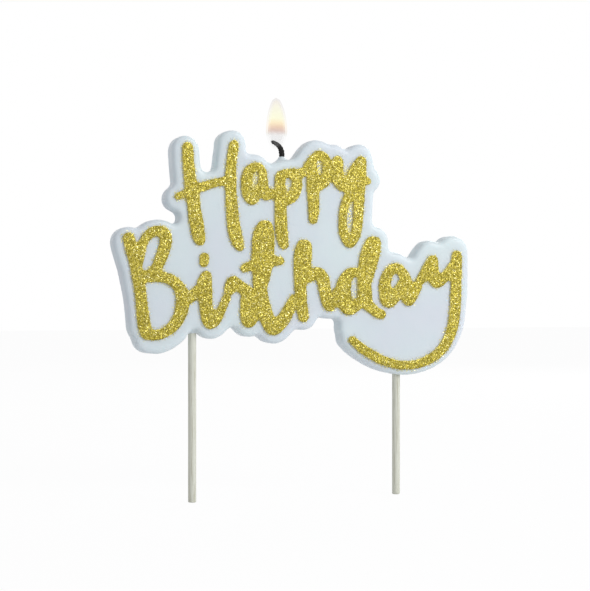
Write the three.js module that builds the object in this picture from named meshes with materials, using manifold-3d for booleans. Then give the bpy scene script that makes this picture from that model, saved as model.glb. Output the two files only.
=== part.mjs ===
// Happy birthday letter candle: a wax plate on two birch picks, with a cotton wick and gold glitter letters.
import * as THREE from 'three';
import { mergeVertices } from 'three/addons/utils/BufferGeometryUtils.js';
import Module from 'manifold-3d';

const wasm = await Module();
wasm.setup();

// Driving dimensions, in millimetres. X runs along the words and Y from the front of the wax to its back.
// Z is up from the level to which the picks are pushed in, and the origin is midway between them.
const PLATE_THICKNESS = 9;
const PLATE_BORDER = 3.5;
const PLATE_FRONT_ROUND = 2;
const PLATE_BACK_ROUND = 0.6;
const PLATE_NOTCH_ROUND = 1.8;
const PLATE_LIFT = 13.5;
const LETTER_RELIEF = 0.5;
const LETTER_EDGE_ROUND = 0.3;
const LETTER_CORNER_ROUND = 0.25;
const LETTER_NOTCH_ROUND = 0.6;
const LETTER_GAP = 0.3;
const PEN_WIDTH = 4.4;
const WORDS_WIDTH = 136.4;
const PICK_DIAMETER = 3.2;
const PICK_LENGTH = 90;
const PICK_PUSHED_IN = 35;
const PICK_SPACING = 85.5;
const PICK_CHAMFER = 0.4;
const PICK_CLEARANCE = 0.25;
const WICK_DIAMETER = 1.8;
const WICK_IN_WAX = 22;
const WICK_CLEARANCE = 0.2;
const WICK_NUB_RISE = 1.9;
const WICK_NUB_WALL = 0.3;
const WICK_NUB_FLARE = 1.3;
const WICK_KNEE_RISE = 3.7;
const WICK_KNEE_BEND = 1.2;
const WICK_TIP_RISE = 5.7;
const WICK_TIP_BEND = 3.9;

// WORDS_WIDTH is the width of the words along the middle of the pen. DATUM is the point of their drawing
// that stands midway between the picks, at the height of the plate's lowest edge.
const DATUM_X = 0.5;
const DATUM_Z = 13.5;
const WICK_DRAWN_X = -5.5;

// How the glitter sits on the plate: the mould's own words are turned and shifted a little from the glitter,
// and the wax has drawn in along the words as it cooled.
const PLATE_TURN = THREE.MathUtils.degToRad(1.2);
const PLATE_SHIFT_X = 0.1;
const PLATE_SHIFT_Z = 0.25;
const PLATE_SHRINKAGE = 0.007;

// Fineness of the traced outlines. A traced loop of less than SPECK_AREA is dust, and is dropped.
const GRID_STEP = 0.5;
const PLATE_POINT_STEP = 1.4;
const PLATE_TOLERANCE = 0.08;
const LETTER_POINT_STEP = 0.7;
const LETTER_TOLERANCE = 0.06;
const STROKE_STEP = 1;
const SPECK_AREA = 1;
const MITER_LIMIT = 2;
const PLATE_ROUND_STEPS = 3;
const LETTER_ROUND_STEPS = 2;
const NUB_STEPS = 3;
const SIDES = 20;
const WICK_STEPS = 16;
const WICK_ARC_STEPS = 5;

// The pen strokes of each letter as [x, z, width], the width as a share of PEN_WIDTH.
const LETTERS = {
  letter_H: [
    [[-45.2, 103.4, 0.98], [-45.1, 100, 1], [-44.7, 95, 1.02], [-44.1, 90, 1.1], [-43.1, 85, 1.14],
      [-42.7, 80, 1.16], [-41.8, 75, 1.25], [-41, 70, 1.18], [-40.4, 67.7, 1.02]],
    [[-49, 84.5, 0.64], [-46, 85.6, 0.66], [-42, 87.5, 0.77], [-38, 88.7, 0.77], [-35, 89.8, 0.73],
      [-32, 90.4, 0.7], [-28.5, 91.2, 0.73]],
    [[-26.6, 105, 0.86], [-27.1, 102, 0.91], [-27.7, 98, 0.91], [-27.9, 94, 0.95], [-27.9, 90, 1],
      [-27.8, 85, 1], [-27.4, 80, 1.05], [-27, 75, 1.14], [-26.1, 70, 1.18], [-24.9, 66.4, 1],
      [-24.1, 64.9, 0.7]],
  ],
  letter_a_1: [
    [[-14.9, 94.6, 0.73], [-16.4, 96.6, 0.73], [-18.6, 96.5, 0.8], [-20.8, 94.2, 0.95], [-21.5, 90.8, 1],
      [-21.4, 87.5, 1], [-20.3, 84.8, 1.05], [-19, 83.7, 0.95], [-17.6, 85.6, 0.82], [-16.3, 88.4, 0.75]],
    [[-14.9, 94.6, 0.75], [-14.7, 91, 0.86], [-14.7, 87.6, 1], [-13.6, 85.5, 0.86], [-11.9, 85.7, 0.8],
      [-9.5, 87.2, 0.8]],
  ],
  letter_p_1: [
    [[-7.9, 91, 0.86], [-7.7, 86, 1], [-7.6, 80, 1.1], [-7.4, 75, 1.14], [-6.9, 70, 1.1], [-6.4, 67, 0.95],
      [-6.1, 66.1, 0.86]],
    [[-7.7, 88, 0.86], [-7.7, 93.1, 0.86], [-5.2, 94.3, 0.75], [-2.5, 94.1, 0.86], [-0.6, 91.5, 0.86],
      [-0.9, 88.3, 0.95], [-2.6, 85.2, 1], [-5, 83.8, 0.91]],
    [[-2.5, 94.6, 0.8], [1, 94.6, 0.8], [3.6, 96.6, 0.9]],
  ],
  letter_p_2: [
    [[3.9, 97, 0.91], [5.9, 100, 0.82], [8.2, 102, 0.77], [10.8, 101, 0.82], [12, 98, 0.91],
      [12, 94.5, 1], [10.8, 91.5, 1], [8.6, 89.8, 0.91]],
    [[5.5, 98, 0.8], [5.8, 93.5, 1.1], [5.9, 89, 1.14], [6.1, 85, 1.12], [6.3, 80, 1], [6.1, 77, 0.86],
      [6, 76.3, 0.82]],
  ],
  letter_y_1: [
    [[15.4, 98.6, 0.8], [16.4, 99.9, 0.93], [16.2, 96, 1.14], [16.6, 92.5, 1.18],
      [18.4, 90.3, 1.16], [20.8, 90.8, 1.05], [22.6, 94.5, 0.91], [24.4, 97.6, 1], [26.3, 99.9, 0.98]],
    [[26.5, 99.7, 0.93], [26.2, 95, 1], [25.8, 90, 0.98], [25.5, 85, 0.95], [25.2, 80, 0.95],
      [24.9, 75, 0.91], [24, 70.5, 0.91], [21.6, 67.1, 0.91], [19.2, 70, 0.86], [18.4, 75, 0.75],
      [18.8, 80, 0.77], [20, 84, 0.82], [22.2, 87.4, 0.91], [24.5, 90.5, 0.91], [27, 92.2, 0.8],
      [29.3, 92, 0.6]],
  ],
  letter_B: [
    [[-68.4, 67.9, 1.05], [-67.5, 64.5, 1.09], [-66.2, 60, 1.05], [-65.2, 55, 1], [-64.3, 50, 1],
      [-63.6, 45, 0.98], [-63.1, 40, 1.05], [-62.5, 35, 1.14], [-61.6, 31.6, 1.05]],
    [[-65.2, 57, 0.9], [-63.9, 62, 0.84], [-62.8, 66.2, 0.77], [-60.5, 69.6, 0.84], [-57.4, 70.9, 0.91],
      [-54.4, 69.8, 1.05], [-53.9, 66.5, 1.05], [-54.9, 62.8, 1.05], [-56.4, 59, 1], [-58, 56, 0.91],
      [-60.5, 54, 0.86], [-64, 53.4, 0.86]],
    [[-64, 52.8, 0.86], [-58, 53.2, 0.86], [-54.5, 53, 0.91], [-51, 51.5, 0.95], [-48.4, 48.8, 1.05],
      [-47.3, 45, 1.14], [-47.5, 41, 1.18], [-48.9, 37, 1.05], [-51.2, 33.9, 0.95], [-54.2, 31.7, 0.86],
      [-57.7, 30.7, 0.88], [-61.3, 31, 0.95]],
    [[-47.3, 45.4, 1], [-44.4, 45.3, 1.05], [-41.6, 47.4, 0.95], [-40, 50, 0.91]],
  ],
  letter_i: [
    [[-39.5, 51, 0.91], [-37.8, 53.7, 0.91], [-38, 50, 1.1],
      [-38.1, 46, 1.2], [-37.9, 42, 1.2], [-37.4, 38, 1.16], [-36.3, 35.3, 1.08], [-34.2, 36.2, 0.95],
      [-32.2, 39.4, 0.82], [-30.5, 43, 0.75], [-29.2, 46, 0.75]],
  ],
  letter_i_dot: [
    [[-38.5, 60.8, 0.86], [-38.7, 58.9, 0.84]],
  ],
  letter_r: [
    [[-28.4, 48.2, 0.95], [-28, 50, 1], [-26.8, 51.4, 1.02], [-25.2, 50.2, 1], [-23.2, 48.8, 1],
      [-21.3, 47.4, 1.1], [-21.2, 43, 1.3], [-21.3, 39, 1.27], [-20.6, 36.1, 1.27], [-18.4, 38.5, 1.05],
      [-16.8, 42, 0.86]],
  ],
  letter_t: [
    [[-14.6, 73.1, 1.14], [-16, 69.5, 1.3], [-16.4, 65, 1.27], [-16.6, 60, 1.27], [-16.4, 55.5, 1.18],
      [-16.1, 51, 1.23], [-15.6, 46, 1.27], [-14.7, 41.5, 1.36], [-13.1, 37, 1.36], [-10.6, 33.3, 1.36],
      [-7.9, 34.9, 1.27], [-5.6, 37.6, 1.18], [-3.8, 41, 1.02], [-1.5, 44.8, 0.95]],
    [[-13.4, 73, 1.18], [-12.9, 69, 1.23], [-12.9, 65, 1.23], [-13.2, 60, 1.18], [-13.9, 55, 1.1],
      [-14.8, 51, 1]],
    [[-22.4, 56.7, 0.73], [-20, 57.7, 0.77], [-17, 58.6, 0.86], [-12, 59.4, 0.91], [-9, 59.7, 0.8],
      [-7.6, 59.7, 0.73]],
  ],
  letter_h: [
    [[1.8, 65.6, 1.18], [0.9, 62.5, 1.23], [0.6, 58, 1.18], [0.6, 53, 1.14], [0.8, 48, 1.08], [1.1, 43.5, 1],
      [1.7, 39.5, 1.05], [2, 37.6, 1]],
    [[2.8, 65.5, 1.18], [2.9, 62, 1.18], [2.6, 58.5, 1.14], [1.8, 54.5, 1.1]],
    [[2.2, 52.5, 0.91], [5.2, 53.9, 1], [8.2, 54.8, 1.1], [10, 53, 1.16], [10.6, 50, 1.14], [11.2, 46.5, 1.1],
      [12, 43.6, 1.1], [13, 42, 1.1], [15, 42.6, 1]],
  ],
  letter_d: [
    [[24.6, 55, 0.77], [22, 55.2, 0.91], [19.8, 53.1, 1.05], [18.6, 49.5, 1.3], [18.7, 45.5, 1.36],
      [19.6, 42.2, 1.3], [21.5, 40.6, 1.12], [23.8, 41.5, 1], [25.8, 43.4, 0.91]],
    [[15.8, 43.6, 1.1], [17, 47, 1.25]],
    [[30.8, 67.2, 1.16], [29.2, 64, 1.2], [28.1, 60, 1.18], [27.8, 55, 1.14], [28, 50, 1.23],
      [28.1, 46, 1.27], [28.8, 43, 1.14], [30.9, 40.8, 0.93], [33.2, 39, 0.91], [35, 38.4, 0.88]],
    [[32.2, 67.2, 1.16], [32, 64, 1.16], [31, 60, 1.18], [29.8, 56, 1.1], [28.6, 52, 1.05]],
  ],
  letter_a_2: [
    [[44.6, 54.3, 1], [43, 56.4, 0.91], [40.5, 57, 0.91], [38, 54.8, 1], [36.6, 51, 1.1], [36.6, 47, 1.14],
      [37.4, 44, 1.18], [38.8, 43.4, 1.05], [41, 46, 1.16], [43.5, 48.5, 1.2], [45.2, 51.5, 1.08]],
    [[45.2, 53.8, 1], [46, 50.5, 1.18], [46.4, 47, 1.27], [46.9, 44.3, 1.18], [48.5, 46.2, 1.05],
      [50, 48.8, 0.95], [52, 52, 0.91]],
  ],
  letter_y_2: [
    [[52.2, 52.4, 0.91], [53.3, 54, 0.91], [55.4, 57.8, 0.95], [57.4, 60.4, 0.95], [57.6, 57, 1.05],
      [57.8, 53.5, 1.2], [59.2, 51.6, 1.14], [61.6, 52.7, 1], [64, 54.8, 0.95], [66.3, 58, 0.91]],
    [[68, 62.2, 1], [67.8, 58, 1.05], [67.8, 53, 1.05], [67.7, 48, 1.05], [67.5, 43, 1.05], [67.1, 38, 1.05],
      [66.2, 33, 1.05], [64.6, 28.7, 1], [62.3, 25, 0.95], [59, 21.8, 0.89], [54.5, 19.3, 0.82],
      [49.5, 17.9, 0.77], [44.5, 17.6, 0.77], [39.5, 18.5, 0.8], [34.5, 20.2, 0.84], [29.5, 22.9, 0.84],
      [25.3, 25.7, 0.8], [22.5, 28.2, 0.7]],
  ],
};

// Strokes of the same kind where the edge of the mould stands further out than the border alone: over the H,
// the second p and both y, beside the first y and the d, left of the B and under it, and by the tail's end.
const PLATE_PADS = [
  [[-26.8, 105.8, 0.85], [-25.8, 105.9, 0.88]],
  [[6, 100.5, 0.78], [8.2, 102.6, 0.75], [10.8, 102, 0.8]],
  [[15.5, 100, 0.9], [16.4, 100.5, 0.93]],
  [[27.2, 100.6, 0.98], [28, 96, 1], [27.4, 88, 1], [26.9, 80, 1], [26.5, 75, 0.95]],
  [[29.3, 92, 0.7], [31, 91.8, 0.75]],
  [[33, 67.1, 1.16], [32.9, 63.5, 1.1]],
  [[55.5, 59.2, 0.95], [57.4, 61.5, 0.95]],
  [[66.9, 63, 1.02], [68.2, 63, 1.02], [68.3, 55, 1.05], [68.1, 45, 1.05]],
  [[-69, 67.7, 1.05], [-68.1, 64.2, 1.09], [-66.8, 60, 1.05], [-65.8, 55, 1], [-64.9, 50, 1],
    [-64.2, 45, 0.98], [-63.7, 40, 1.05], [-63.1, 35, 1.14]],
  [[-61.5, 30.2, 0.95], [-57.7, 29.8, 0.9], [-54, 31, 0.88], [-51, 33.2, 0.9]],
  [[21.5, 34.2, 0.4], [21.2, 32, 0.4]],
];

// Sizes that follow from those above.
const DRAWN_X = Object.values(LETTERS).flat(2).map(([x]) => x);
const DRAWING_UNIT = WORDS_WIDTH / (Math.max(...DRAWN_X) - Math.min(...DRAWN_X));
const FRONT = -PLATE_THICKNESS / 2;
const BACK = PLATE_THICKNESS / 2;
const PICK_TOP = PICK_LENGTH - PICK_PUSHED_IN;
const PICK_RADIUS = PICK_DIAMETER / 2;
const WICK_RADIUS = WICK_DIAMETER / 2;

const wax = new THREE.MeshStandardMaterial({ color: 0xd6dde8, roughness: 0.42, metalness: 0 });
const glitter = new THREE.MeshStandardMaterial({ color: 0xc2a32b, roughness: 0.35, metalness: 0.9 });
const birch = new THREE.MeshStandardMaterial({ color: 0xdcd6bd, roughness: 0.7, metalness: 0 });
const cotton = new THREE.MeshStandardMaterial({ color: 0x1d1b1a, roughness: 0.95, metalness: 0 });

// A point of the drawing in the candle's own frame.
const placeX = (x) => (x - DATUM_X) * DRAWING_UNIT;
const placeZ = (z) => PLATE_LIFT + (z - DATUM_Z) * DRAWING_UNIT;

// The short straight runs of a stroke, each end as { x, z, r } with r half the pen's width.
function strokeRuns(stroke) {
  const half = PEN_WIDTH / 2;
  const corners = stroke.map(([x, z, share]) => new THREE.Vector3(placeX(x), placeZ(z), share * half));
  const curve = new THREE.CatmullRomCurve3(corners, false, 'centripetal');
  const points = curve.getPoints(Math.ceil(curve.getLength() / STROKE_STEP));
  return points.slice(1).map((end, k) => [points[k], end]);
}

// A straight run between two points, with half the pen's width at its ends, ready for measuring distances.
function runBetween(a, b, half = 0, halfAtEnd = 0) {
  const dx = b.x - a.x;
  const dz = b.y - a.y;
  const square = dx * dx + dz * dz || 1;
  return { x: a.x, z: a.y, dx, dz, square, half, halfStep: halfAtEnd - half };
}

// Distance from a point to the nearest of some runs, less the run's own half width there.
function nearestRun(runs, x, z) {
  let nearest = Infinity;
  for (const run of runs) {
    const px = x - run.x;
    const pz = z - run.z;
    const t = Math.min(1, Math.max(0, (px * run.dx + pz * run.dz) / run.square));
    const gx = px - t * run.dx;
    const gz = pz - t * run.dz;
    const gap = Math.sqrt(gx * gx + gz * gz) - run.half - t * run.halfStep;
    if (gap < nearest) nearest = gap;
  }
  return nearest;
}

// Signed distance from a point to the edge of a set of strokes, negative on the ink.
function inkField(strokes) {
  const runs = strokes.flatMap(strokeRuns).map(([a, b]) => runBetween(a, b, a.z, b.z));
  return (x, z) => nearestRun(runs, x, z);
}

// The edges that a contour joins in a grid cell, for each pattern of its four corners inside the contour.
// Corners count 1, 2, 4, 8 anticlockwise from the lower left, and edges 0 to 3 anticlockwise from the lowest.
const CELL_PATHS = [
  [], [[0, 3]], [[1, 0]], [[1, 3]], [[2, 1]], [[0, 3], [2, 1]], [[2, 0]], [[2, 3]],
  [[3, 2]], [[0, 2]], [[1, 0], [3, 2]], [[1, 2]], [[3, 1]], [[0, 1]], [[3, 0]], [],
];

// Closed loops where a field passes through a level, with the lower side on their left.
function traceLoops(field, box, level = 0) {
  const columns = Math.ceil((box.max.x - box.min.x) / GRID_STEP) + 1;
  const rows = Math.ceil((box.max.y - box.min.y) / GRID_STEP) + 1;
  const at = (i, j) => [box.min.x + i * GRID_STEP, box.min.y + j * GRID_STEP];
  const values = new Float64Array(columns * rows);
  for (let j = 0; j < rows; j++) {
    for (let i = 0; i < columns; i++) values[j * columns + i] = field(...at(i, j)) - level;
  }
  const points = new Map();
  const next = new Map();
  const crossing = (i, j, upright) => {
    const key = 2 * (j * columns + i) + (upright ? 1 : 0);
    if (!points.has(key)) {
      const a = values[j * columns + i];
      const b = upright ? values[(j + 1) * columns + i] : values[j * columns + i + 1];
      const [x, z] = at(i, j);
      const step = GRID_STEP * a / (a - b);
      points.set(key, upright ? new THREE.Vector2(x, z + step) : new THREE.Vector2(x + step, z));
    }
    return key;
  };
  for (let j = 0; j < rows - 1; j++) {
    for (let i = 0; i < columns - 1; i++) {
      const corners = [[i, j], [i + 1, j], [i + 1, j + 1], [i, j + 1]];
      const pattern = corners.reduce((sum, [u, v], k) => sum + (values[v * columns + u] < 0 ? 1 << k : 0), 0);
      const edges = [[i, j, false], [i + 1, j, true], [i, j + 1, false], [i, j, true]];
      for (const [from, to] of CELL_PATHS[pattern]) {
        next.set(crossing(...edges[from]), crossing(...edges[to]));
      }
    }
  }
  const loops = [];
  while (next.size > 0) {
    const loop = [];
    let key = next.keys().next().value;
    while (next.has(key)) {
      loop.push(points.get(key));
      const following = next.get(key);
      next.delete(key);
      key = following;
    }
    loops.push(loop);
  }
  return loops;
}

// The same field with the corners of its outline rounded: a positive radius fills the notches, a negative one
// rounds the points and drops slivers.
function roundedField(field, box, radius) {
  const runs = traceLoops(field, box, radius)
    .flatMap((loop) => loop.map((point, k) => runBetween(point, loop[(k + 1) % loop.length])));
  const low = Math.min(radius, 0) - 2 * GRID_STEP;
  const high = Math.max(radius, 0) + 2 * GRID_STEP;
  return (x, z) => {
    const value = field(x, z);
    if (value < low || value > high) return value;
    const distance = nearestRun(runs, x, z);
    return (value < radius ? -distance : distance) + radius;
  };
}

const areaOf = (loop) => Math.abs(THREE.ShapeUtils.area(loop));

// Evenly spaced points along a closed loop.
function spacedLoop(loop, step) {
  const path = new THREE.CurvePath();
  loop.forEach((point, k) => path.add(new THREE.LineCurve(point, loop[(k + 1) % loop.length])));
  return path.getSpacedPoints(Math.round(path.getLength() / step)).slice(0, -1);
}

// The loop without the points that lie on the straight between their neighbours, within a tolerance.
function thinnedLoop(loop, tolerance) {
  const isStraight = (start, last) => {
    const chord = [runBetween(loop[start], loop[last % loop.length])];
    return loop.slice(start + 1, last).every((point) => nearestRun(chord, point.x, point.y) < tolerance);
  };
  const kept = [];
  let start = 0;
  while (start < loop.length) {
    kept.push(loop[start]);
    let end = start + 1;
    while (end < loop.length && isStraight(start, end + 1)) end++;
    start = end;
  }
  return kept;
}

// The loop moved sideways towards its left, which is the inside of the shape.
function insetLoop(loop, inset) {
  return loop.map((point, k) => {
    const before = loop[(k + loop.length - 1) % loop.length];
    const after = loop[(k + 1) % loop.length];
    const a = point.clone().sub(before).normalize();
    const b = after.clone().sub(point).normalize();
    const spread = Math.max(1 + a.dot(b), 1 / MITER_LIMIT);
    const miter = new THREE.Vector2(-a.y - b.y, a.x + b.x).divideScalar(spread);
    return point.clone().addScaledVector(miter, inset);
  });
}

// A closed slab over outline loops that have their inside on the left, with rings of [inset, y] from back
// to front.
function slab(loops, rings) {
  const positions = [];
  const faces = [];
  const layers = rings.map(([inset, y]) => loops.map((loop) => insetLoop(loop, inset).map((point) => {
    positions.push(point.x, y, point.y);
    return { index: positions.length / 3 - 1, point };
  })));
  for (let k = 1; k < layers.length; k++) {
    layers[k].forEach((front, n) => front.forEach((corner, i) => {
      const j = (i + 1) % front.length;
      const back = layers[k - 1][n];
      faces.push(back[i].index, back[j].index, front[j].index, back[i].index, front[j].index, corner.index);
    }));
  }
  const addCap = (layer, isFront) => {
    const outer = layer.filter((loop) => THREE.ShapeUtils.area(loop.map((c) => c.point)) > 0);
    const holes = layer.filter((loop) => !outer.includes(loop));
    const corners = [...outer[0], ...holes.flat()];
    const cap = THREE.ShapeUtils.triangulateShape(
      outer[0].map((c) => c.point),
      holes.map((loop) => loop.map((c) => c.point)),
    );
    for (const triangle of cap) {
      const [a, b, c] = triangle.map((index) => corners[index]);
      const turn = b.point.clone().sub(a.point).cross(c.point.clone().sub(a.point));
      const order = (turn > 0) === isFront ? [a, b, c] : [a, c, b];
      faces.push(...order.map((corner) => corner.index));
    }
  };
  addCap(layers[0], false);
  addCap(layers.at(-1), true);
  const geometry = new THREE.BufferGeometry();
  geometry.setAttribute('position', new THREE.Float32BufferAttribute(positions, 3));
  geometry.setIndex(faces);
  return geometry;
}

// Points of a quarter turn from [0, 0] to [width, height], square to both axes at its ends.
function quarterRound(width, height, steps) {
  return Array.from({ length: steps + 1 }, (_, k) => {
    const angle = k * Math.PI / 2 / steps;
    return [width * (1 - Math.cos(angle)), height * Math.sin(angle)];
  });
}

// Slab rings of a rounded edge that comes forward to a flat face at y.
function frontRound(radius, y, steps) {
  return quarterRound(radius, radius, steps).map(([inset, depth]) => [inset, y + radius - depth]);
}

// A turned solid that stands along Z at x, from a profile of [radius, z] that starts and ends on the axis.
function turned(profile, x) {
  const points = profile.map(([radius, z]) => new THREE.Vector2(radius, z));
  return new THREE.LatheGeometry(points, SIDES).rotateX(Math.PI / 2).translate(x, 0, 0);
}

function toSolid(geometry) {
  const bare = geometry.clone();
  bare.deleteAttribute('normal');
  bare.deleteAttribute('uv');
  const merged = mergeVertices(bare);
  const mesh = new wasm.Mesh({
    numProp: 3,
    vertProperties: Float32Array.from(merged.attributes.position.array),
    triVerts: Uint32Array.from(merged.index.array),
  });
  return new wasm.Manifold(mesh);
}

function toGeometry(solid) {
  const mesh = solid.getMesh();
  const geometry = new THREE.BufferGeometry();
  geometry.setAttribute('position', new THREE.BufferAttribute(Float32Array.from(mesh.vertProperties), 3));
  geometry.setIndex(Array.from(mesh.triVerts));
  return geometry;
}

const candle = new THREE.Group();

function addPiece(name, geometry, material) {
  geometry.computeVertexNormals();
  const mesh = new THREE.Mesh(geometry, material);
  mesh.name = name;
  candle.add(mesh);
}

// The box of a set of strokes, with room round it for the widest pen and a margin.
function boxOf(strokes, margin) {
  const box = new THREE.Box2();
  for (const [x, z] of strokes.flat()) box.expandByPoint(new THREE.Vector2(placeX(x), placeZ(z)));
  return box.expandByScalar(margin + PEN_WIDTH);
}

// The wax plate's outline: the words' own outline widened by the border, with its notches filled and no hole.
function plateOutline() {
  const strokes = [...Object.values(LETTERS).flat(), ...PLATE_PADS];
  const ink = inkField(strokes);
  const box = boxOf(strokes, PLATE_BORDER + PLATE_NOTCH_ROUND);
  const centre = box.getCenter(new THREE.Vector2());
  const field = (x, z) => {
    const here = new THREE.Vector2(x - PLATE_SHIFT_X, z - PLATE_SHIFT_Z).rotateAround(centre, -PLATE_TURN);
    return ink(centre.x + (here.x - centre.x) / (1 - PLATE_SHRINKAGE), here.y) - PLATE_BORDER;
  };
  const loops = traceLoops(roundedField(field, box, PLATE_NOTCH_ROUND), box);
  const outer = loops.reduce((widest, loop) => (areaOf(loop) > areaOf(widest) ? loop : widest));
  return thinnedLoop(spacedLoop(outer, PLATE_POINT_STEP), PLATE_TOLERANCE);
}

// The greatest height at which a loop crosses an upright line.
function topOfLoop(loop, x) {
  return Math.max(...loop.map((a, k) => {
    const b = loop[(k + 1) % loop.length];
    return (a.x < x) === (b.x < x) ? -Infinity : a.y + (b.y - a.y) * (x - a.x) / (b.x - a.x);
  }));
}

const outline = plateOutline();
const PICK_PLACES = { pick_left: -PICK_SPACING / 2, pick_right: PICK_SPACING / 2 };
const WICK_X = placeX(WICK_DRAWN_X);
const WICK_BASE = topOfLoop(outline, WICK_X);

// The plate with the nub of wax that climbs the wick, the sockets of the picks and the channel of the wick.
function makePlate() {
  const rings = [
    [PLATE_BACK_ROUND, BACK],
    [0, BACK - PLATE_BACK_ROUND],
    ...frontRound(PLATE_FRONT_ROUND, FRONT, PLATE_ROUND_STEPS),
  ];
  const channel = WICK_RADIUS + WICK_CLEARANCE;
  const channelFoot = WICK_BASE - WICK_IN_WAX - WICK_CLEARANCE;
  const nubTop = WICK_BASE + WICK_NUB_RISE;
  const nub = turned([
    [0, WICK_BASE - WICK_NUB_RISE],
    [channel + WICK_NUB_WALL + WICK_NUB_FLARE, WICK_BASE - WICK_NUB_RISE],
    ...quarterRound(WICK_NUB_RISE, WICK_NUB_FLARE, NUB_STEPS)
      .map(([rise, draw]) => [channel + WICK_NUB_WALL + WICK_NUB_FLARE - draw, WICK_BASE + rise]),
    [0, nubTop],
  ], WICK_X);
  const sockets = Object.values(PICK_PLACES).map((x) => turned([
    [0, 0],
    [PICK_RADIUS + PICK_CLEARANCE, 0],
    [PICK_RADIUS + PICK_CLEARANCE, PICK_TOP + PICK_CLEARANCE],
    [0, PICK_TOP + PICK_CLEARANCE],
  ], x));
  const wickChannel = turned([
    [0, channelFoot],
    [channel, channelFoot],
    [channel, nubTop + WICK_NUB_RISE],
    [0, nubTop + WICK_NUB_RISE],
  ], WICK_X);
  const plate = toSolid(slab([outline], rings)).add(toSolid(nub));
  return [...sockets, wickChannel].reduce((solid, hole) => solid.subtract(toSolid(hole)), plate);
}

function addPicks() {
  for (const [name, x] of Object.entries(PICK_PLACES)) {
    addPiece(name, turned([
      [0, -PICK_PUSHED_IN],
      [PICK_RADIUS - PICK_CHAMFER, -PICK_PUSHED_IN],
      [PICK_RADIUS, PICK_CHAMFER - PICK_PUSHED_IN],
      [PICK_RADIUS, PICK_TOP - PICK_CHAMFER],
      [PICK_RADIUS - PICK_CHAMFER, PICK_TOP],
      [0, PICK_TOP],
    ], x), birch);
  }
}

// The wick runs straight up its channel and out of the nub, and its burnt end bends over to the left.
function addWick() {
  const nubTop = WICK_BASE + WICK_NUB_RISE;
  const route = new THREE.CatmullRomCurve3([
    new THREE.Vector3(WICK_X, 0, WICK_BASE - WICK_IN_WAX),
    new THREE.Vector3(WICK_X, 0, WICK_BASE),
    new THREE.Vector3(WICK_X, 0, nubTop),
    new THREE.Vector3(WICK_X - WICK_KNEE_BEND, 0, nubTop + WICK_KNEE_RISE),
    new THREE.Vector3(WICK_X - WICK_TIP_BEND, 0, nubTop + WICK_TIP_RISE),
  ], false, 'centripetal');
  const section = new THREE.Shape().absarc(0, 0, WICK_RADIUS, 0, 2 * Math.PI);
  addPiece('wick', new THREE.ExtrudeGeometry(section, {
    steps: WICK_STEPS,
    curveSegments: WICK_ARC_STEPS,
    bevelEnabled: false,
    extrudePath: route,
  }), cotton);
}

// Each letter lies flat on the wax, and stops short of the letters after it where their strokes run together.
function addLetters() {
  const rings = [[0, FRONT], ...frontRound(LETTER_EDGE_ROUND, FRONT - LETTER_RELIEF, LETTER_ROUND_STEPS)];
  const corner = LETTER_CORNER_ROUND + LETTER_EDGE_ROUND;
  const letters = Object.entries(LETTERS).map(([name, strokes]) => {
    const box = boxOf(strokes, LETTER_GAP);
    return { name, box, ink: roundedField(inkField(strokes), box, LETTER_NOTCH_ROUND) };
  });
  letters.forEach(({ name, box, ink }, k) => {
    const after = letters.slice(k + 1).filter((other) => other.box.intersectsBox(box));
    const field = (x, z) => Math.max(ink(x, z), ...after.map((other) => LETTER_GAP - other.ink(x, z)));
    const loops = traceLoops(roundedField(field, box, -corner), box)
      .filter((loop) => areaOf(loop) > SPECK_AREA)
      .map((loop) => thinnedLoop(spacedLoop(loop, LETTER_POINT_STEP), LETTER_TOLERANCE));
    addPiece(name, slab(loops, rings), glitter);
  });
}

addPiece('wax_body', toGeometry(makePlate()), wax);
addWick();
addPicks();
addLetters();

export default candle;
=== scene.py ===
"""Happy birthday letter candle: poured wax with gold glitter letters, two birch picks and a lit wick.

Lengths in the scene are in metres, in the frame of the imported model: X along the words as they are read, Y
from the front of the wax to its back, and Z up. The sizes in a class are in millimetres unless its docstring
says otherwise, and MM turns them to metres.
"""

import logging
import math
from collections.abc import Iterable, Mapping, Sequence
from dataclasses import dataclass, field
from enum import Enum

import bmesh
import bpy
from mathutils import Matrix, Vector, noise
from mathutils.bvhtree import BVHTree
from mathutils.geometry import interpolate_bezier


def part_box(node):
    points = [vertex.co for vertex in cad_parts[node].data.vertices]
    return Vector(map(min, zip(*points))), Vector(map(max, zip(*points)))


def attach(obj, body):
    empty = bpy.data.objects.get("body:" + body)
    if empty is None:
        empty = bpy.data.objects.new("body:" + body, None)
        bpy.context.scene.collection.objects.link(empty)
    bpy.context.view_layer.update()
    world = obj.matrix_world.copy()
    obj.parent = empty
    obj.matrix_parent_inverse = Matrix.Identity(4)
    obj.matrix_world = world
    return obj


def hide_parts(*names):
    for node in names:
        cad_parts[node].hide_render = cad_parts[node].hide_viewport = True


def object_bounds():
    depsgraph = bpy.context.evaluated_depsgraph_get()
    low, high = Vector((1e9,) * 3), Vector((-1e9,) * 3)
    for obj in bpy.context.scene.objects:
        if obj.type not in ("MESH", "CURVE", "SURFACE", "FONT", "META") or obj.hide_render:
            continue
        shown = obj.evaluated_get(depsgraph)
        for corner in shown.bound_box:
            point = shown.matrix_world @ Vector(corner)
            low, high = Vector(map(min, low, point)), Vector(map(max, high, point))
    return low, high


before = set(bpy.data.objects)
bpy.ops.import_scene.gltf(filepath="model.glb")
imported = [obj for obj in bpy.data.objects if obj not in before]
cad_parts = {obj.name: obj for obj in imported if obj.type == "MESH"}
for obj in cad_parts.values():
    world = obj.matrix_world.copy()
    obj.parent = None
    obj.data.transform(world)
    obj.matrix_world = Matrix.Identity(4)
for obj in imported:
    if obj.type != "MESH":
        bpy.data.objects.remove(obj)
CAD_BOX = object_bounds()

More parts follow.
